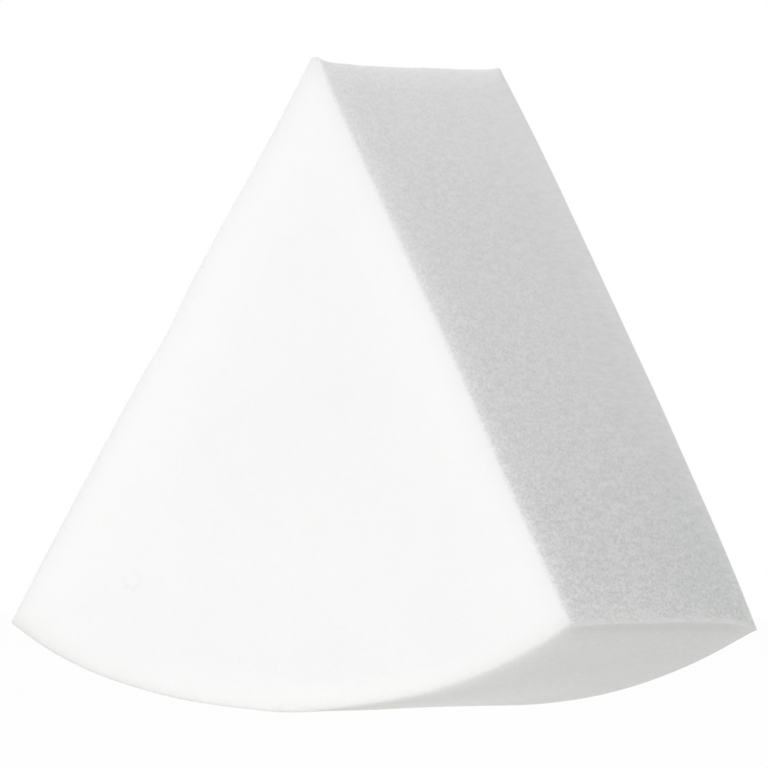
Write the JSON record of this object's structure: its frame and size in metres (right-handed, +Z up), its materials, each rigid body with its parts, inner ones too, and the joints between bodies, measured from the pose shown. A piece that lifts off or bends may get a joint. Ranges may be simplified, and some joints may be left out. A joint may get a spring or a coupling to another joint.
{
  "type": "makeup sponge",
  "caption": "White foam makeup sponge: a thick pie-shaped wedge with two broad flat faces, two knife-cut sides that meet in a point edge, and a curved rim to dab and blend with.",
  "frame": {"origin": "bottom middle of the wedge's box, on the narrow flat of the rim that it stands on", "axes": "+Z up through the point edge, +Y through the thickness from the front broad face to the rear one, +X to the right seen from the front"},
  "size_m": [0.05, 0.0332, 0.0498],
  "materials": {
    "white_foam": "matte fine-celled foam"
  },
  "bodies": {
    "root": {"foam_wedge": "white_foam"}
  },
  "joints": []
}
